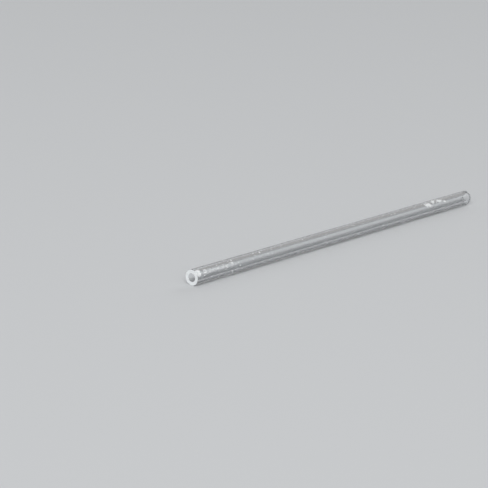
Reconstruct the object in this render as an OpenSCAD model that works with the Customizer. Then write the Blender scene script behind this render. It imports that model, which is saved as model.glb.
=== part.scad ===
// Glass capillary tube, sawn to length from thick-walled drawn glass tubing.
//
// Millimetres, +Z up. The tube lies along X and touches z = 0 along its lowest line. The origin
// is on that line, half-way between the two ends. The end with the breakout faces -X.
// Places on the tube are given as a distance along it from the -X end, and an angle round it,
// counted from the top towards -Y.

/* [Tube] */
// Outside diameter of the tube
tube_od = 3; // [2.4:0.1:8]
// Diameter of the bore
bore_d = 1.6; // [0.4:0.05:2.2]
// Length of the tube, over the two sawn ends
tube_length = 90; // [10:1:300]

/* [Ground edges] */
// Width of the bevel ground round the outside edge of each end
outer_bevel = 0.045; // [0.02:0.005:0.12]
// Width of the bevel ground round the bore's edge at each end
bore_bevel = 0.03; // [0.01:0.005:0.1]

/* [Breakout] */
// Angle of the middle of the breakout round the tube, from the top towards -Y
chip_angle = 48; // [-120:0.5:120]
// Distance that the longest flake scar runs along the wall from the -X end
chip_length = 1.38; // [0.6:0.02:2]
// Distance round the wall from the first strike point on the end's edge to the last
strike_spread = 0.4; // [0.2:0.05:1]
// Depth of the deepest scar where it opens on the end face
chip_depth = 0.06; // [0.04:0.01:0.2]
// Angle by which the steepest scar dives into the wall
chip_dive = 10; // [2:0.5:12]
// Number of ripples from a strike point to the tip of its scar
ripple_count = 5; // [1:1:8]
// Height of a ripple at the tip of a scar
ripple_height = 0.009; // [0.002:0.001:0.015]

/* [Edge nicks] */
// Number of small nicks round the outside edge of each end
nick_count = 9; // [1:1:16]
// Radius of the largest nick
nick_radius = 0.09; // [0.04:0.01:0.16]
// Angle of the deep nick at the -X end, from the top towards -Y
pit_angle = 200; // [195:5:345]
// Radius of the deep nick
pit_radius = 0.18; // [0.08:0.01:0.22]

/* [Hidden] */
$fn = 96;
tube_r = tube_od / 2;
bore_r = bore_d / 2;

// The breakout is three shell-shaped scars that overlap, each struck from its own point on the
// end's edge: [place, reach, depth, dive], where place runs from -0.5 to 0.5 of strike_spread, and
// the rest are shares of chip_length, chip_depth and chip_dive.
FLAKES = [
    [0.5, 0.78, 0.3, 1],    // broad scar on the lower flank, which dives most steeply
    [-0.5, 0.83, 1, 0.6],   // scar that breaks deepest into the end face
    [-0.35, 1, 0.3, 0.4],   // shallow tongue that runs furthest along the wall
];
// A scar's section is this power of the way to its tip: flat near the strike point, then rising
SCAR_POWER = 4;
// Share of its reach by which a scar's cutter goes on past its tip, so that it leaves the wall
SCAR_OVERRUN = 0.12;
// Points along a scar's section for each ripple
RIPPLE_STEPS = 4;

// Turn from each nick to the next, as a share of the arc, which spreads them without a repeat
GOLDEN_STEP = 0.618;
// Angle on each side of the line that the tube lies on that has no nick
CONTACT_CLEAR = 18;
// Smallest nick as a share of the largest
SMALLEST_NICK = 0.45;
// How far a nick's centre stands off the glass, as a share of its radius
NICK_STANDOFF = 0.25;

// Angle round the tube that spans a distance measured along the outside of the wall
function wall_angle(distance) = distance / tube_r * 180 / PI;

// Depth of a scar at t, the share of its reach from the strike point. It starts at depth and
// rises through the wall's level at its tip, which its dive has carried down by drop by then.
function scar_depth(t, depth, drop) =
    depth - (depth + drop) * pow(t, SCAR_POWER) + ripple_height * t * sin(360 * ripple_count * t);

// Angle of nick i of an end: all round, but for the line of contact at 180 degrees
function nick_angle(i) =
    let (turn = GOLDEN_STEP * (i + 0.5))
    180 + CONTACT_CLEAR + (360 - 2 * CONTACT_CLEAR) * (turn - floor(turn));

// Radius of nick i: it wanders between the smallest and the largest
function nick_size(i) =
    nick_radius * (SMALLEST_NICK + (1 - SMALLEST_NICK) * pow(sin(GOLDEN_STEP * 360 * i), 2));

// Turned form of the tube, standing on its end: bore, wall and the four ground bevels
module turned_tube() {
    rotate_extrude()
        polygon([
            [bore_r + bore_bevel, 0],
            [tube_r - outer_bevel, 0],
            [tube_r, outer_bevel],
            [tube_r, tube_length - outer_bevel],
            [tube_r - outer_bevel, tube_length],
            [bore_r + bore_bevel, tube_length],
            [bore_r, tube_length - bore_bevel],
            [bore_r, bore_bevel],
        ]);
}

// Puts children on a circle round the tube's axis, with their +Z pointing out of the glass
module on_wall(along, angle, radius = tube_r) {
    translate([along - tube_length / 2, 0, tube_r])
        rotate([angle, 0, 0])
            translate([0, 0, radius])
                children();
}

// Cutter for one shell-shaped scar: a shallow dish with ripples round its middle, the strike
// point, sunk below z = 0 and open above it
module scar_cutter(reach, depth, dive) {
    steps = RIPPLE_STEPS * ripple_count;
    drop = reach * tan(dive);
    // The points stand half a step off the tip, so that a whole facet crosses the wall there
    shares = concat(0, [for (i = [0.5:steps * (1 + SCAR_OVERRUN)]) i / steps]);
    section = [for (t = shares) [reach * t, -scar_depth(t, depth, drop)]];
    rim = reach * max(shares);
    rotate([0, dive, 0])
        rotate_extrude()
            polygon(concat(section, [[rim, tube_r], [0, tube_r]]));
}

// All the scars of the breakout
module breakout_cutter() {
    for (flake = FLAKES)
        on_wall(0, chip_angle + wall_angle(flake[0] * strike_spread))
            scar_cutter(flake[1] * chip_length, flake[2] * chip_depth, flake[3] * chip_dive);
}

// One bite out of an edge: a ball whose centre stands a little off the glass, at end 0 or 1
module edge_bite(end, angle, radius) {
    outwards = end == 0 ? -1 : 1;
    off = NICK_STANDOFF * radius;
    on_wall(end * tube_length + outwards * off, angle, tube_r + off)
        sphere(r = radius);
}

// Small nicks spread round the outside edge of both ends
module edge_nick_cutters() {
    for (end = [0, 1])
        for (i = [0:nick_count - 1])
            edge_bite(end, nick_angle(i + end * nick_count), nick_size(i + end * nick_count));
}

module capillary_tube() {
    color([0.8, 0.84, 0.85, 0.5])
        difference() {
            on_wall(0, 0, 0)
                rotate([0, 90, 0])
                    turned_tube();
            breakout_cutter();
            edge_nick_cutters();
            edge_bite(0, pit_angle, pit_radius);
        }
}

capillary_tube();
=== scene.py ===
"""Looks of a glass capillary tube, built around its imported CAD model.

A length of thick-walled borosilicate tubing: drawn, sawn to length and ground square, with a
shell-shaped breakout struck from the rim of one end and small nicks round both rims. Fine glass
dust from the saw lies along its top beyond the breakout, as single grains and in clumps, and
frosted scuffs lie near the other end.

Blender's units are metres; the sizes below are in millimetres, as on a drawing. +X runs along the
tube from the end with the breakout, and +Z up from the surface that it lies on. A break in the
wall is placed by its distance from that end, and a mark on it by X from the tube's middle. Both
are placed round the wall by an angle from the top towards -Y.
"""

import logging
import math
from dataclasses import dataclass
from enum import IntEnum
from typing import Any

import bpy
import numpy as np
from mathutils import Matrix, Vector


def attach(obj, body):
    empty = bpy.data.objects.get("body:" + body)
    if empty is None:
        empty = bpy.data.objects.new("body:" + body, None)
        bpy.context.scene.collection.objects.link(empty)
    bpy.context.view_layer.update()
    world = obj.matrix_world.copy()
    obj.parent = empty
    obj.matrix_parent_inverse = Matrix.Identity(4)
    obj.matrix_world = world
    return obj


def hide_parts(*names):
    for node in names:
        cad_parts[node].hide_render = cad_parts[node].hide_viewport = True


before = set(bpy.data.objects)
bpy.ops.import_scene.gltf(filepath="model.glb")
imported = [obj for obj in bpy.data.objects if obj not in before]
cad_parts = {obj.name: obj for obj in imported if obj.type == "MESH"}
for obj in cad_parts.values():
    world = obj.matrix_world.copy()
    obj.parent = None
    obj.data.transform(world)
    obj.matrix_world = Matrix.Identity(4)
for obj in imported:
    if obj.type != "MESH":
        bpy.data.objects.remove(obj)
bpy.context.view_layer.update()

log = logging.getLogger("capillary_tube")

Tree = bpy.types.NodeTree
Socket = bpy.types.NodeSocket
# numbers of a Mix node's sockets for colours, whose names stand for several sockets each
MIX_A, MIX_B, MIXED = 6, 7, 2

MM = 0.001  # metres in a millimetre
NODE = "capillary_tube"
BODY = "root"


class Surface(IntEnum):
    """How a face of the tube was made, which is also its material slot."""

    BORE = 0
    WALL = 1
    GROUND = 2
    FRACTURED = 3
    SEAMED = 4


# ---------------------------------------------------------------------------------------------
# Small helpers for materials


def linear(hex_colour: str) -> tuple[float, float, float, float]:
    """Turn an sRGB hex colour into linear red, green, blue and an alpha of 1.

    Each part from 0 to 1 is divided by 12.92 up to 0.04045. Above that it gets 0.055 added, is
    divided by 1.055 and raised to the power 2.4.

    Args:
        hex_colour: the colour as "#RRGGBB".

    Returns:
        The colour as Blender's sockets take it.
    """
    parts = [int(hex_colour[i : i + 2], 16) / 255 for i in (1, 3, 5)]
    lin = [p / 12.92 if p <= 0.04045 else ((p + 0.055) / 1.055) ** 2.4 for p in parts]
    return (lin[0], lin[1], lin[2], 1.0)


def per_metre(size_mm: float) -> float:
    """Scale at which one unit of a texture is size_mm millimetres wide."""
    return 1 / (size_mm * MM)


def add_node(
    tree: Tree, kind: str, sockets: dict[str | int, Any], **settings: Any
) -> bpy.types.NodeOutputs:
    """Add a node with its settings, its socket values and its links.

    Args:
        tree: the node tree that it goes into.
        kind: the node's type, without its "ShaderNode" prefix.
        sockets: a value, or another node's output, for each input by name or number.
        settings: attributes of the node itself.

    Returns:
        The new node's outputs.
    """
    node = tree.nodes.new("ShaderNode" + kind)
    for name, value in settings.items():
        setattr(node, name, value)
    for key, value in sockets.items():
        if isinstance(value, Socket):
            tree.links.new(value, node.inputs[key])
        else:
            node.inputs[key].default_value = value
    return node.outputs


# ---------------------------------------------------------------------------------------------
# Finishes


@dataclass(frozen=True)
class Finish:
    """How a surface was made, shown by one shader."""

    name: str
    colour: str
    roughness: float

    def build(self) -> bpy.types.Material:
        """Make the material.

        Returns:
            The material, with the shader's sockets set as the finish says.
        """
        material = bpy.data.materials.new(self.name)
        material.use_nodes = True
        tree = material.node_tree
        tree.nodes.clear()
        shader = add_node(tree, "BsdfPrincipled", self.sockets(tree))
        add_node(tree, "OutputMaterial", {"Surface": shader["BSDF"]})
        return material

    def sockets(self, tree: Tree) -> dict[str, Any]:
        """What goes into each of the shader's sockets: here the same colour all over."""
        return {"Base Color": linear(self.colour), "Roughness": self.roughness}


@dataclass(frozen=True)
class Glass(Finish):
    """Clear borosilicate glass, which each kind of work leaves more or less see-through."""

    transmission: float
    ior: float = 1.474

    def sockets(self, tree: Tree) -> dict[str, Any]:
        """What goes into each of the shader's sockets: glass that is the same all over."""
        clear = {"IOR": self.ior, "Transmission Weight": self.transmission}
        return super().sockets(tree) | clear


@dataclass(frozen=True)
class DrawnGlass(Glass):
    """Glass with the fire-bright skin of drawn tubing.

    Drawn hot and never touched, so it is smooth, clear and almost without colour. The eye sees
    what lies behind it, bent, with thin lines along the wall and the bore.
    """

    name: str = "drawn_borosilicate_glass"
    colour: str = "#FAFBFC"
    roughness: float = 0.02
    transmission: float = 1.0


@dataclass(frozen=True)
class SeamedGlass(Glass):
    """Glass where the sharp outer edge of a sawn end was taken off with a fine stone.

    The narrow slope is satin and leans away from the light, so it reads as a fine grey line
    round the white of the sawn end.
    """

    name: str = "seamed_borosilicate_glass"
    colour: str = "#F0F3F4"
    roughness: float = 0.45
    transmission: float = 0.75


@dataclass(frozen=True)
class Scuff:
    """Frosted patch on the wall, a ragged ellipse."""

    along: float  # mm along X of its middle
    angle: float  # degrees round the wall of its middle
    half_length: float  # mm along the tube
    half_width: float  # mm round the wall
    lean: float  # degrees from along the tube towards growing angle


@dataclass(frozen=True)
class Dust:
    """Glass dust of one fineness, at most one grain to each cell of a wandering grid."""

    spacing: float  # mm between places where a grain may lie
    sizes: tuple[float, float]  # mm, radius of the smallest and largest grain
    shares: tuple[float, float]  # of those places that hold a grain, elsewhere and in the streak
    raggedness: float  # mm by which a grain's edge wanders


@dataclass(frozen=True)
class HandledGlass(DrawnGlass):
    """Drawn glass on the outside of the wall, where saw and hands have left marks.

    White glass dust lies in a streak beyond the breakout, in small clumps and sparsely
    elsewhere, and frosted scuffs lie near the other end. Where one of them is, the eye sees matt
    white in place of what lies behind the glass.
    """

    name: str = "handled_borosilicate_glass"
    radius: float = 1.5  # mm, the tube's
    mark_colour: str = "#F0F3F4"
    mark_roughness: float = 0.8
    dust_starts: tuple[float, float] = (-43.4, -42.6)  # mm along X over which the streak begins
    dust_thins: tuple[float, float] = (-33.0, -35.5)  # mm along X over which it has thinned out
    dust_angle: float = 52.0  # degrees round the wall of the streak's middle
    dust_spread: float = 28.0  # degrees from there to its edge
    fray_per_mm: float = 2.6  # humps of the noise that frays a scuff's edge
    fray_height: float = 2.2  # of those humps, where a scuff is 1 high in its middle
    frost_from: tuple[float, float] = (1.3, 1.75)  # height over which the glass turns frosted
    frost_cover: float = 0.85  # how white a scuff is at most

    UNSCUFFED = -9.0  # height of the bare wall, far below any scuff

    DUSTS = (
        Dust(spacing=0.3, sizes=(0.03, 0.1), shares=(0.03, 0.6), raggedness=0.09),
        Dust(spacing=0.12, sizes=(0.012, 0.045), shares=(0.01, 0.85), raggedness=0.04),
    )
    SCUFFS = (
        Scuff(along=29.3, angle=36, half_length=1.8, half_width=0.85, lean=8),
        Scuff(along=31.6, angle=17, half_length=1.2, half_width=0.65, lean=-35),
        Scuff(along=33.6, angle=27, half_length=1.5, half_width=0.65, lean=4),
        Scuff(along=35.3, angle=48, half_length=0.8, half_width=0.35, lean=10),
    )
    # clumps of dust are ragged ellipses too, only smaller
    CLUMPS = (
        Scuff(along=-42.8, angle=56, half_length=0.6, half_width=0.17, lean=-6),
        Scuff(along=-43.1, angle=74, half_length=0.42, half_width=0.14, lean=-14),
        Scuff(along=-42.6, angle=37, half_length=0.4, half_width=0.13, lean=8),
        Scuff(along=-36.9, angle=56, half_length=0.28, half_width=0.22, lean=20),
        Scuff(along=-35.0, angle=43, half_length=0.36, half_width=0.28, lean=-30),
        Scuff(along=-34.8, angle=22, half_length=0.3, half_width=0.26, lean=0),
        Scuff(along=-35.2, angle=108, half_length=0.26, half_width=0.3, lean=10),
        Scuff(along=-33.1, angle=78, half_length=0.3, half_width=0.24, lean=40),
        Scuff(along=-26.5, angle=24, half_length=0.3, half_width=0.26, lean=15),
    )

    def sockets(self, tree: Tree) -> dict[str, Any]:
        """What goes into each of the shader's sockets: glass, and matt white under a mark.

        Args:
            tree: the material's tree.

        Returns:
            The values and links by socket.
        """
        along, angle, unrolled = self.unroll(tree)
        streak = self.streak(tree, along, angle)
        marks = self.scuffs(tree, unrolled)
        for dust in self.DUSTS:
            grains = self.grains(tree, dust, streak, unrolled)
            marks = add_node(tree, "Math", {0: marks, 1: grains}, operation="MAXIMUM")[0]
        tone = add_node(
            tree,
            "Mix",
            {0: marks, MIX_A: linear(self.colour), MIX_B: linear(self.mark_colour)},
            data_type="RGBA",
        )[MIXED]
        matt = add_node(
            tree,
            "MapRange",
            {"Value": marks, "To Min": self.roughness, "To Max": self.mark_roughness},
            interpolation_type="SMOOTHSTEP",
        )[0]
        clear = add_node(tree, "Math", {0: self.transmission, 1: marks}, operation="SUBTRACT")[0]
        marked = {"Base Color": tone, "Roughness": matt, "Transmission Weight": clear}
        return super().sockets(tree) | marked

    def unroll(self, tree: Tree) -> tuple[Socket, Socket, Socket]:
        """Unroll the wall from the angle whose tangent is -Y over the height above the axis.

        Args:
            tree: the material's tree.

        Returns:
            Sockets of the mm along X, of the degrees from the top, and of both as a flat place
            in mm.
        """
        place = add_node(tree, "TexCoord", {})["Object"]
        in_mm = add_node(tree, "Mapping", {"Vector": place, "Scale": (1 / MM,) * 3})["Vector"]
        axes = add_node(tree, "SeparateXYZ", {0: in_mm})
        aside = add_node(tree, "Math", {0: axes["Y"], 1: -1.0}, operation="MULTIPLY")[0]
        rise = add_node(tree, "Math", {0: axes["Z"], 1: self.radius}, operation="SUBTRACT")[0]
        turn = add_node(tree, "Math", {0: aside, 1: rise}, operation="ARCTAN2")[0]
        around = add_node(tree, "Math", {0: turn, 1: self.radius}, operation="MULTIPLY")[0]
        degrees = add_node(tree, "Math", {0: turn}, operation="DEGREES")[0]
        flat = add_node(tree, "CombineXYZ", {0: axes["X"], 1: around})[0]
        return axes["X"], degrees, flat

    def streak(self, tree: Tree, along: Socket, angle: Socket) -> Socket:
        """Where the dust lies thick: 1 along the middle of its streak and 0 beside it.

        It is the product of three smooth steps: one where the streak begins, one where it thins
        out, and one from its edge to its middle.

        Args:
            tree: the material's tree.
            along: mm along X.
            angle: degrees round the wall.

        Returns:
            The share's socket.
        """
        past = add_node(tree, "Math", {0: angle, 1: self.dust_angle}, operation="SUBTRACT")[0]
        aside = add_node(tree, "Math", {0: past}, operation="ABSOLUTE")[0]
        steps = (
            (along, self.dust_starts),
            (along, self.dust_thins),
            (aside, (self.dust_spread, 0.0)),
        )
        share: float | Socket = 1.0
        for value, (bare, full) in steps:
            step = add_node(
                tree,
                "MapRange",
                {"Value": value, "From Min": bare, "From Max": full},
                interpolation_type="SMOOTHSTEP",
            )[0]
            share = add_node(tree, "Math", {0: share, 1: step}, operation="MULTIPLY")[0]
        return share

    def grains(self, tree: Tree, dust: Dust, streak: Socket, unrolled: Socket) -> Socket:
        """Where grains lie: 1 on a grain and 0 beside it.

        Each Voronoi cell draws two lots. A grain lies in its middle if the first is below the
        dust's share there, and the second sets the grain's radius. Noise shifts the place that
        is looked up, which makes the grains ragged.

        Args:
            tree: the material's tree.
            dust: the dust's fineness.
            streak: how thick the dust lies.
            unrolled: the flat place on the wall.

        Returns:
            The mask's socket.
        """
        wander = add_node(
            tree, "TexNoise", {"Vector": unrolled, "Scale": 1 / dust.raggedness, "Detail": 1.0}
        )["Color"]
        ragged = add_node(
            tree,
            "VectorMath",
            {0: wander, 1: (dust.raggedness,) * 3, 2: unrolled},
            operation="MULTIPLY_ADD",
        )[0]
        cells = add_node(
            tree,
            "TexVoronoi",
            {"Vector": ragged, "Scale": 1 / dust.spacing, "Randomness": 0.8},
            voronoi_dimensions="2D",
        )
        lots = add_node(tree, "SeparateColor", {0: cells["Color"]})
        sizes = tuple(radius / dust.spacing for radius in dust.sizes)
        # what is tested, and the value that sets its limit between the two that follow
        tests = (
            (lots["Red"], streak, dust.shares),
            (cells["Distance"], lots["Green"], sizes),
        )
        mask: float | Socket = 1.0
        for tested, value, (least, most) in tests:
            limit = add_node(
                tree,
                "MapRange",
                {"Value": value, "To Min": least, "To Max": most},
                interpolation_type="SMOOTHSTEP",
            )[0]
            under = add_node(tree, "Math", {0: tested, 1: limit}, operation="LESS_THAN")[0]
            mask = add_node(tree, "Math", {0: mask, 1: under}, operation="MULTIPLY")[0]
        return mask

    def scuffs(self, tree: Tree, unrolled: Socket) -> Socket:
        """How frosted the wall is, under the scuffs and the clumps.

        Each of them gives a height of 1 at its middle, which falls evenly to 0 at its edge and
        below beyond it. The largest of these, plus a noise, is frosted where it is high enough.

        Args:
            tree: the material's tree.
            unrolled: the flat place on the wall.

        Returns:
            The mask's socket, from 0 to the most that a scuff covers.
        """
        height: float | Socket = self.UNSCUFFED
        for scuff in self.SCUFFS + self.CLUMPS:
            local = add_node(
                tree,
                "Mapping",
                {
                    "Vector": unrolled,
                    "Location": (scuff.along, math.radians(scuff.angle) * self.radius, 0.0),
                    "Rotation": (0.0, 0.0, math.radians(scuff.lean)),
                    "Scale": (scuff.half_length, scuff.half_width, 1.0),
                },
                vector_type="TEXTURE",
            )["Vector"]
            share = add_node(tree, "VectorMath", {0: local}, operation="LENGTH")["Value"]
            cone = add_node(tree, "Math", {0: 1.0, 1: share}, operation="SUBTRACT")[0]
            height = add_node(tree, "Math", {0: cone, 1: height}, operation="MAXIMUM")[0]
        fray = add_node(
            tree,
            "TexNoise",
            {"Vector": unrolled, "Scale": self.fray_per_mm, "Detail": 5.0, "Roughness": 0.7},
        )["Fac"]
        frayed = add_node(
            tree, "Math", {0: fray, 1: self.fray_height, 2: height}, operation="MULTIPLY_ADD"
        )[0]
        clear, frosted = self.frost_from
        return add_node(
            tree,
            "MapRange",
            {"Value": frayed, "From Min": clear, "From Max": frosted, "To Max": self.frost_cover},
            interpolation_type="SMOOTHSTEP",
        )[0]


@dataclass(frozen=True)
class GroundGlass(Glass):
    """Glass sawn with a diamond blade and ground flat on fine grit.

    A skin of tiny pits scatters the light, so it looks an even matt white with a trace of the
    blade's strokes, and only a little light comes up through it.
    """

    name: str = "ground_borosilicate_glass"
    colour: str = "#EFF2F3"
    roughness: float = 0.65
    transmission: float = 0.1
    dark_colour: str = "#DDE1E3"
    grit_size: float = 0.06  # mm; the real grit is finer, drawn as coarse as it needs to show
    stroke_width: float = 0.05  # mm between the blade's strokes
    stroke_length: float = 2.4  # mm
    tone_from: tuple[float, float] = (0.7, 1.3)  # relief over which the tone turns pale
    depth: float = 0.004  # mm

    def sockets(self, tree: Tree) -> dict[str, Any]:
        """What goes into each of the shader's sockets, with pits and strokes in tone and bump.

        Args:
            tree: the material's tree.

        Returns:
            The values and links by socket.
        """
        place = add_node(tree, "TexCoord", {})["Object"]
        grit = add_node(
            tree,
            "TexNoise",
            {"Vector": place, "Scale": per_metre(self.grit_size), "Detail": 3.0},
        )["Fac"]
        stretch = (1.0, 1 / self.stroke_length, 1 / self.stroke_width)
        drawn_out = add_node(tree, "Mapping", {"Vector": place, "Scale": stretch})["Vector"]
        strokes = add_node(
            tree, "TexNoise", {"Vector": drawn_out, "Scale": per_metre(1), "Detail": 1.0}
        )["Fac"]
        relief = add_node(tree, "Math", {0: grit, 1: strokes}, operation="ADD")[0]
        dark, pale = self.tone_from
        share = add_node(
            tree,
            "MapRange",
            {"Value": relief, "From Min": dark, "From Max": pale},
            interpolation_type="SMOOTHSTEP",
        )[0]
        tone = add_node(
            tree,
            "Mix",
            {0: share, MIX_A: linear(self.dark_colour), MIX_B: linear(self.colour)},
            data_type="RGBA",
        )[MIXED]
        bump = add_node(
            tree, "Bump", {"Height": relief, "Distance": self.depth * MM, "Strength": 0.6}
        )["Normal"]
        return super().sockets(tree) | {"Base Color": tone, "Normal": bump}


@dataclass(frozen=True)
class FracturedGlass(Glass):
    """Fresh break in glass, struck off and not ground.

    Steps and hackle as fine as hairs throw the light every way, so it is the whitest part of
    the tube. Small dark spots of painted shade stand where a step faces away, and a few broad
    grey patches are painted shade too.
    """

    name: str = "fractured_borosilicate_glass_with_painted_shade"
    colour: str = "#F6F8F9"
    roughness: float = 0.4
    transmission: float = 0.15
    # painted shade: colour of the small dark spots where a step of the hackle faces away
    painted_spot_shade: str = "#D6DBDD"
    painted_spot_range: tuple[float, float] = (0.34, 0.46)  # height of the hackle over which a spot of painted shade ends
    # painted shade: grey colour of the broad patches
    painted_patch_grey: str = "#BCC3C6"
    painted_patch_size: float = 0.5  # mm, across a patch of painted shade
    painted_patch_range: tuple[float, float] = (0.36, 0.54)  # share of the noise over which a patch of painted shade ends
    hackle_size: float = 0.09  # mm
    depth: float = 0.006  # mm

    def sockets(self, tree: Tree) -> dict[str, Any]:
        """What goes into each of the shader's sockets, with hackle in bump and painted shade in
        tone.

        Args:
            tree: the material's tree.

        Returns:
            The values and links by socket.
        """
        place = add_node(tree, "TexCoord", {})["Object"]
        hackle = add_node(
            tree,
            "TexNoise",
            {
                "Vector": place,
                "Scale": per_metre(self.hackle_size),
                "Detail": 4.0,
                "Distortion": 0.6,
            },
        )["Fac"]
        painted_patches = add_node(
            tree,
            "TexNoise",
            {
                "Vector": place,
                "Scale": per_metre(self.painted_patch_size),
                "Detail": 2.0,
                "Distortion": 0.8,
            },
        )["Fac"]
        # painted shade: dark spots where the hackle is low, and broad grey patches, over the white
        layers = (
            (hackle, self.painted_spot_range, self.painted_spot_shade),
            (painted_patches, self.painted_patch_range, self.painted_patch_grey),
        )
        tone: tuple[float, float, float, float] | Socket = linear(self.colour)
        for value, (dark, pale), dark_colour in layers:
            share = add_node(
                tree,
                "MapRange",
                {"Value": value, "From Min": dark, "From Max": pale},
                interpolation_type="SMOOTHSTEP",
            )[0]
            tone = add_node(
                tree,
                "Mix",
                {0: share, MIX_A: linear(dark_colour), MIX_B: tone},
                data_type="RGBA",
            )[MIXED]
        bump = add_node(
            tree, "Bump", {"Height": hackle, "Distance": self.depth * MM, "Strength": 1.0}
        )["Normal"]
        return super().sockets(tree) | {"Base Color": tone, "Normal": bump}


@dataclass(frozen=True)
class StudioBoard(Finish):
    """Plain pale board under the tube, dead matt."""

    name: str = "pale_board"
    colour: str = "#CDCFD1"
    roughness: float = 1.0

    def sockets(self, tree: Tree) -> dict[str, Any]:
        """What goes into each of the shader's sockets: a colour with no shine at all."""
        return super().sockets(tree) | {"Specular IOR Level": 0.0}


# ---------------------------------------------------------------------------------------------
# Damage to the rims


@dataclass(frozen=True)
class FlakeScar:
    """Scar of one flake, a shallow rippled dish about the point on the rim where it was struck."""

    angle: float  # degrees round the wall
    reach: float  # mm from the strike point to the tip
    depth: float  # mm at the strike point
    dive: float  # degrees by which the dish leans into the wall
    ripples: int = 5
    ripple_height: float = 0.009  # mm at the tip
    hackles: int = 34  # fine ridges that fan out from the strike point
    hackle_height: float = 0.0022  # mm at the tip

    POWER = 4  # flat near the strike point, then rising to the wall
    OVERRUN = 1.12  # share of the reach at which the dish ends
    SWIRL = 9  # radians of phase that a fine ridge gains by the tip, so that it bends aside
    SIDEWAYS = 1.3  # radians round the tube, past which no scar reaches
    STEPS = 40  # in which the floor is found
    STEP_SHARE = 0.8  # of what is still missing, taken in each step
    LIMITS = (0.5, 1.2)  # of the tube's radius, between which the floor is looked for

    def dish(self, share: np.ndarray, bearing: np.ndarray) -> np.ndarray:
        """Depth of the dish below its own plane.

        The depth falls with the fourth power of the share of the reach. A sine of the share
        adds the ripples, and a sine of the bearing adds the hackle, both growing with the share.

        Args:
            share: distance from the strike point as a share of the reach.
            bearing: direction from the strike point, in radians.

        Returns:
            The depths in mm.
        """
        drop = self.reach * math.tan(math.radians(self.dive))
        bowl = self.depth - (self.depth + drop) * share**self.POWER
        ripple = self.ripple_height * share * np.sin(2 * np.pi * self.ripples * share)
        fan = self.hackles * bearing + self.SWIRL * share
        hackle = self.hackle_height * share * np.sin(fan)
        return bowl + ripple + hackle

    def floor_radius(self, along: np.ndarray, angle: np.ndarray, tube_radius: float) -> np.ndarray:
        """Radius at which the scar's floor lies under each place on the wall.

        A point at radius r, seen from the strike point, has the place (along, r sin d,
        r cos d - R), where d is the angle from the strike point and R the tube's radius. That
        place is leant by the dive, and r is moved in steps until its height is minus the dish's
        depth there.

        Args:
            along: distances along the tube in mm.
            angle: angles round the wall in degrees.
            tube_radius: the tube's radius in mm.

        Returns:
            The radius in mm, or the tube's radius where the scar doesn't reach.
        """
        lean = math.radians(self.dive)
        turn = np.radians(angle - self.angle)
        near = np.abs(turn) < self.SIDEWAYS
        turn = np.where(near, turn, 0.0)
        least, most = (limit * tube_radius for limit in self.LIMITS)
        radius = np.full(np.broadcast(along, angle).shape, tube_radius)
        for _ in range(self.STEPS):
            across, high = radius * np.sin(turn), radius * np.cos(turn) - tube_radius
            forward = along * math.cos(lean) - high * math.sin(lean)
            height = along * math.sin(lean) + high * math.cos(lean)
            share = np.hypot(forward, across) / self.reach
            bearing = np.arctan2(across, forward)
            miss = height + self.dish(np.minimum(share, self.OVERRUN), bearing)
            radius = np.clip(radius - self.STEP_SHARE * miss, least, most)
        reached = near & (share < self.OVERRUN)
        return np.where(reached, np.minimum(radius, tube_radius), tube_radius)


@dataclass(frozen=True)
class RimNick:
    """Small bite out of a rim, a ball whose centre stands a little off the glass."""

    along: float  # mm from the -X end to the rim that it bites
    outwards: float  # -1 at the -X end, 1 at the other
    angle: float  # degrees round the wall
    radius: float  # mm

    STANDOFF = 0.25  # share of its radius by which the centre stands off
    SIDEWAYS = 1.0  # radians round the tube, past which no nick reaches

    def floor_radius(self, along: np.ndarray, angle: np.ndarray, tube_radius: float) -> np.ndarray:
        """Radius at which the nick's floor lies: the near root of the ball's circle.

        Args:
            along: distances along the tube in mm.
            angle: angles round the wall in degrees.
            tube_radius: the tube's radius in mm.

        Returns:
            The radius in mm, or the tube's radius where the nick doesn't reach.
        """
        off = self.STANDOFF * self.radius
        centre = tube_radius + off
        turn = np.radians((angle - self.angle + 180) % 360 - 180)
        gap = along - (self.along + self.outwards * off)
        inside = self.radius**2 - gap**2 - (centre * np.sin(turn)) ** 2
        reached = (inside > 0) & (np.abs(turn) < self.SIDEWAYS)
        floor = centre * np.cos(turn) - np.sqrt(np.where(reached, inside, 0.0))
        return np.where(reached, np.minimum(floor, tube_radius), tube_radius)


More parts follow.
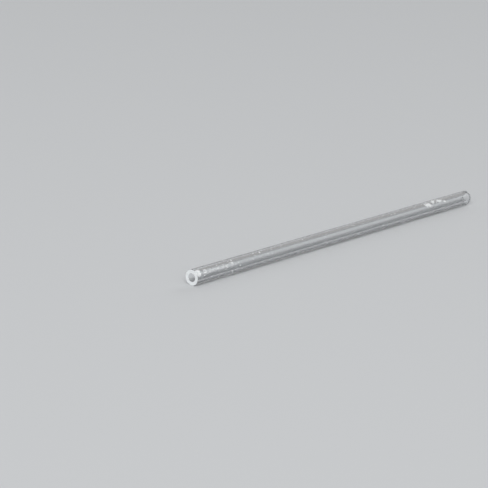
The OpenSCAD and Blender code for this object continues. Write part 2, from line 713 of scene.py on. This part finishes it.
@dataclass(frozen=True)
class RimDamage:
    """The breakout and the nicks, laid out as the part's drawing lays them out."""

    length: float  # mm, the tube's
    tube_radius: float  # mm
    chip_angle: float = 48.0  # degrees round the wall of the breakout's middle
    chip_length: float = 1.38  # mm, reach of the longest flake
    strike_spread: float = 0.4  # mm along the rim over which the flakes were struck
    chip_depth: float = 0.06  # mm, of the deepest flake
    chip_dive: float = 10.0  # degrees, of the steepest flake
    nick_count: int = 9  # on each rim
    nick_radius: float = 0.09  # mm, of the largest
    smallest_nick: float = 0.45  # as a share of the largest
    pit_angle: float = 200.0  # degrees round the wall of the deep nick
    pit_radius: float = 0.18  # mm
    contact_clear: float = 18.0  # degrees each side of the line of contact with no nick
    golden_step: float = 0.618  # of the way round from each nick to the next

    # place, reach, depth and dive of each flake, as shares of the sizes above
    FLAKES = ((0.5, 0.78, 0.3, 1.0), (-0.5, 0.83, 1.0, 0.6), (-0.35, 1.0, 0.3, 0.4))

    def scars(self) -> list[FlakeScar]:
        """Lay out the breakout.

        Returns:
            The scars of its flakes.
        """
        per_mm = math.degrees(1 / self.tube_radius)
        return [
            FlakeScar(
                angle=self.chip_angle + place * self.strike_spread * per_mm,
                reach=reach * self.chip_length,
                depth=depth * self.chip_depth,
                dive=dive * self.chip_dive,
            )
            for place, reach, depth, dive in self.FLAKES
        ]

    def nicks(self) -> list[RimNick]:
        """Lay out the nicks of both rims.

        With g for the golden step, nick i lies at the fractional part of g (i + 1/2) on the way
        round, which leaves out the line of contact. The squared sine of g i turns sets its size
        between the smallest and the largest.

        Returns:
            The deep nick and the small ones.
        """
        found = [RimNick(0.0, -1.0, self.pit_angle, self.pit_radius)]
        for i in range(2 * self.nick_count):
            far = i >= self.nick_count
            turn = (self.golden_step * (i + 0.5)) % 1
            swing = math.sin(math.radians(self.golden_step * 360 * i)) ** 2
            size = self.smallest_nick + (1 - self.smallest_nick) * swing
            found.append(
                RimNick(
                    along=self.length if far else 0.0,
                    outwards=1.0 if far else -1.0,
                    angle=180 + self.contact_clear + (360 - 2 * self.contact_clear) * turn,
                    radius=self.nick_radius * size,
                )
            )
        return found


# ---------------------------------------------------------------------------------------------
# The tube


@dataclass
class CapillaryTube:
    """The whole tube as one closed surface, with a material for each way it was made."""

    radius: float = 1.5  # mm
    bore_radius: float = 0.8  # mm
    length: float = 90.0  # mm
    outer_bevel: float = 0.045  # mm each way
    bore_bevel: float = 0.03  # mm each way
    fine_angles: tuple[float, float] = (6.0, 100.0)  # degrees, where the breakout lies
    fine_step: float = 0.5  # degrees between lines there
    coarse_step: float = 1.06  # degrees between lines elsewhere
    rim_zone: float = 0.2  # mm from each end, where the nicks lie
    chip_zone: float = 1.46  # mm from the near end, where the breakout ends
    rim_rings: int = 12
    chip_rings: int = 64
    shank_rings: int = 14
    face_rings: int = 12
    bore_rings: int = 9
    least_cut: float = 2e-4  # mm; a shallower cut is left out
    crease: float = 14.0  # degrees, past which two faces meet in a sharp edge

    ROUNDING = 1e-9  # mm, below which two lengths are the same

    def angles(self) -> np.ndarray:
        """Lay out the lines along the tube, close together across the breakout.

        Returns:
            Their angles in degrees.
        """
        low, high = self.fine_angles
        fine = np.arange(low, high, self.fine_step)
        rest = np.linspace(high, low + 360, round((360 + low - high) / self.coarse_step) + 1)[:-1]
        return np.concatenate([fine, rest])

    def stations(self) -> np.ndarray:
        """Lay out the rings of the wall: fine at the rims, and across the breakout.

        Returns:
            Their distances along the tube in mm, from one rim to the other.
        """
        shoulder = self.length - self.rim_zone
        slope = [0, 0.5 * self.outer_bevel]
        rim = np.concatenate([slope, np.linspace(self.outer_bevel, self.rim_zone, self.rim_rings)])
        chip = np.linspace(self.rim_zone, self.chip_zone, self.chip_rings)[1:]
        shank = np.linspace(self.chip_zone, shoulder, self.shank_rings)[1:-1]
        return np.concatenate([rim, chip, shank, self.length - rim[::-1]])

    def wall(self, along: np.ndarray, angle: np.ndarray) -> tuple[np.ndarray, np.ndarray]:
        """Radius and finish of the outside of the tube.

        The radius is the least of the drawn wall's, the two bevels', which fall by a millimetre
        for each millimetre towards their end, each scar's and each nick's.

        Args:
            along: distances along the tube in mm.
            angle: angles in degrees.

        Returns:
            The radii in mm, and how each place was made, as numbers of Surface.
        """
        shape = np.broadcast(along, angle).shape
        edge = np.minimum(along, self.length - along)
        sound = self.radius - np.maximum(self.outer_bevel - edge, 0)
        radius = np.broadcast_to(sound, shape).copy()
        made = np.where(radius < self.radius - self.ROUNDING, Surface.SEAMED, Surface.WALL)
        damage = RimDamage(self.length, self.radius)
        for cut in [*damage.scars(), *damage.nicks()]:
            floor = cut.floor_radius(along, angle, self.radius)
            deeper = floor < radius - self.least_cut
            radius[deeper], made[deeper] = floor[deeper], Surface.FRACTURED
        return radius, made

    def build(self, finishes: dict[Surface, bpy.types.Material]) -> bpy.types.Object:
        """Make the tube's object.

        The surface is a ring of rings. They go out over the near end's face, along the wall,
        in over the far end's face and back along the bore, so it closes both ways.

        Args:
            finishes: the material for each kind of surface.

        Returns:
            The object, at the origin, with its place in its mesh.
        """
        angle = self.angles()[None, :]
        station = self.stations()[:, None]
        wall_radius, wall_made = self.wall(station, angle)
        inner = self.bore_radius + self.bore_bevel
        share = np.linspace(0, 1, self.face_rings)[:-1, None]
        near_face = inner + share * (wall_radius[:1] - inner)
        far_face = (inner + share * (wall_radius[-1:] - inner))[::-1]
        bore_at = np.linspace(self.length - self.bore_bevel, self.bore_bevel, self.bore_rings)
        radius = np.concatenate(
            [
                near_face,
                wall_radius,
                far_face,
                np.full((self.bore_rings, angle.size), self.bore_radius),
            ]
        )
        along = np.concatenate(
            [
                np.zeros(len(near_face)),
                station[:, 0],
                np.full(len(far_face), self.length),
                bore_at,
            ]
        )
        made = np.concatenate(
            [
                np.full(near_face.shape, Surface.GROUND),
                wall_made,
                np.full(far_face.shape, Surface.GROUND),
                np.full((self.bore_rings, angle.size), Surface.BORE),
            ]
        )
        turn = np.radians(angle)
        points = np.stack(
            [
                np.broadcast_to(along[:, None] - self.length / 2, radius.shape),
                -radius * np.sin(turn),
                self.radius + radius * np.cos(turn),
            ],
            axis=-1,
        )
        made = self.face_finishes(made, len(near_face), len(station))
        return self.to_object(points, made, finishes)

    def face_finishes(self, made: np.ndarray, near: int, walls: int) -> np.ndarray:
        """Finish of each face from those of its corners.

        On the wall a face is broken glass if any of its corners is, and seamed if one of them
        is and none is broken. The two ends are ground, and the bore's bevels are broken, as a
        blade chips an edge that no stone reaches.

        Args:
            made: how each point was made, as rings by lines.
            near: number of rings of the near face.
            walls: number of rings of the wall.

        Returns:
            The numbers of the finishes, one for each face.
        """
        corners = np.stack([made, np.roll(made, -1, 1)])
        corners = np.concatenate([corners, np.roll(corners, -1, 1)])
        broken, seamed = ((corners == kind).any(0) for kind in (Surface.FRACTURED, Surface.SEAMED))
        faces = np.where(broken, Surface.FRACTURED, np.where(seamed, Surface.SEAMED, made))
        faces[:near] = Surface.GROUND
        faces[near + walls - 1 : len(made) - self.bore_rings] = Surface.GROUND
        faces[len(made) - self.bore_rings - 1] = Surface.FRACTURED
        faces[-1] = Surface.FRACTURED
        return faces

    def to_object(
        self,
        points: np.ndarray,
        made: np.ndarray,
        finishes: dict[Surface, bpy.types.Material],
    ) -> bpy.types.Object:
        """Turn rings of points into a closed mesh.

        Args:
            points: places in mm, as rings by lines by axes.
            made: the finish of each face, as rings by lines.
            finishes: the material for each kind of surface.

        Returns:
            The object.
        """
        rings, lines = points.shape[:2]
        number = np.arange(rings * lines).reshape(rings, lines)
        beside = np.roll(number, -1, 1)
        quads = np.stack(
            [number, beside, np.roll(beside, -1, 0), np.roll(number, -1, 0)], axis=-1
        ).reshape(-1, 4)
        mesh = bpy.data.meshes.new("drawn_tube")
        mesh.vertices.add(rings * lines)
        mesh.vertices.foreach_set("co", (points * MM).astype(np.float32).ravel())
        mesh.loops.add(quads.size)
        mesh.loops.foreach_set("vertex_index", quads.ravel())
        mesh.polygons.add(len(quads))
        mesh.polygons.foreach_set("loop_start", np.arange(0, quads.size, 4))
        for surface in Surface:
            mesh.materials.append(finishes[surface])
        mesh.update(calc_edges=True)
        mesh.polygons.foreach_set("material_index", made.ravel().astype(np.int32))
        mesh.polygons.foreach_set("use_smooth", np.ones(len(quads), dtype=bool))
        mesh.set_sharp_from_angle(angle=math.radians(self.crease))
        mesh.validate()
        tube = bpy.data.objects.new("drawn_tube", mesh)
        bpy.context.scene.collection.objects.link(tube)
        return tube


# ---------------------------------------------------------------------------------------------
# Studio


@dataclass(frozen=True)
class Softbox:
    """Soft lamp that faces the origin."""

    name: str
    place: tuple[float, float, float]  # m
    size: tuple[float, float]  # m, wide and high
    power: float  # W
    mirrored: bool = True  # seen in the glass, and not only on what is matt

    def build(self) -> None:
        """Hang the lamp."""
        lamp = bpy.data.lights.new(self.name, "AREA")
        lamp.shape = "RECTANGLE"
        lamp.size, lamp.size_y = self.size
        lamp.energy = self.power
        holder = bpy.data.objects.new(self.name, lamp)
        holder.location = self.place
        holder.rotation_euler = (-Vector(self.place)).to_track_quat("-Z", "Y").to_euler()
        holder.visible_camera = self.mirrored
        holder.visible_glossy = self.mirrored
        holder.visible_transmission = self.mirrored
        bpy.context.scene.collection.objects.link(holder)


@dataclass(frozen=True)
class Studio:
    """Plain pale board, plain world, a large soft lamp above the near end and a weak fill."""

    board_size: float = 3.0  # m
    world_colour: str = "#FFFFFF"
    world_strength: float = 0.37

    LAMPS = (
        Softbox("key", place=(-1.5, -1.0, 1.3), size=(1.8, 1.8), power=46.0),
        Softbox("fill", place=(2.0, 0.6, 0.7), size=(1.8, 1.2), power=13.0, mirrored=False),
    )

    def build(self) -> None:
        """Put up the board, the lamps and the world."""
        half = self.board_size / 2
        mesh = bpy.data.meshes.new("board")
        corners = [(-half, -half, 0), (half, -half, 0), (half, half, 0), (-half, half, 0)]
        mesh.from_pydata(corners, [], [(0, 1, 2, 3)])
        board = bpy.data.objects.new("board", mesh)
        board.data.materials.append(StudioBoard().build())
        bpy.context.scene.collection.objects.link(board)
        for lamp in self.LAMPS:
            lamp.build()
        world = bpy.data.worlds.new("studio")
        world.use_nodes = True
        background = world.node_tree.nodes["Background"]
        background.inputs["Color"].default_value = linear(self.world_colour)
        background.inputs["Strength"].default_value = self.world_strength
        bpy.context.scene.world = world


@dataclass(frozen=True)
class ViewPoint:
    """Camera low beside the near end, looking along the tube."""

    place: tuple[float, float, float] = (-280.62, -201.77, 97.98)  # mm
    heading: float = 38.897  # degrees from +X towards +Y
    down: float = 16.119  # degrees below level
    roll: float = 3.264  # degrees
    focal: float = 1800.0  # pixels
    image: int = 488  # pixels each way
    sensor: float = 36.0  # mm
    clip: tuple[float, float] = (0.01, 20.0)  # m, the nearest and farthest that it sees

    def build(self) -> None:
        """Make the camera and make it the scene's."""
        heading, down, roll = (math.radians(v) for v in (self.heading, self.down, self.roll))
        ahead = Vector(
            (
                math.cos(down) * math.cos(heading),
                math.cos(down) * math.sin(heading),
                -math.sin(down),
            )
        )
        level = Vector((math.sin(heading), -math.cos(heading), 0))
        above = level.cross(ahead)
        right = level * math.cos(roll) + above * math.sin(roll)
        up = above * math.cos(roll) - level * math.sin(roll)
        camera = bpy.data.cameras.new("viewpoint")
        camera.sensor_width = self.sensor
        camera.lens = self.sensor * self.focal / self.image
        camera.clip_start, camera.clip_end = self.clip
        holder = bpy.data.objects.new("viewpoint", camera)
        turn = Matrix((right, up, -ahead)).transposed().to_4x4()
        holder.matrix_world = Matrix.Translation(Vector(self.place) * MM) @ turn
        bpy.context.scene.collection.objects.link(holder)
        bpy.context.scene.camera = holder


def main() -> None:
    """Build the camera, the tube and the studio in order."""
    logging.basicConfig(level=logging.INFO, format="%(name)s: %(message)s")
    bpy.context.scene.view_settings.view_transform = "Standard"
    ViewPoint().build()
    finishes = {
        Surface.BORE: DrawnGlass().build(),
        Surface.WALL: HandledGlass().build(),
        Surface.GROUND: GroundGlass().build(),
        Surface.FRACTURED: FracturedGlass().build(),
        Surface.SEAMED: SeamedGlass().build(),
    }
    tube = CapillaryTube().build(finishes)
    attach(tube, BODY)
    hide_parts(NODE)
    log.info("%s: %d faces on body %s", tube.name, len(tube.data.polygons), BODY)
    Studio().build()
    log.info("studio: board, %d soft lamps and world", len(Studio.LAMPS))


if __name__ == "__main__":
    main()
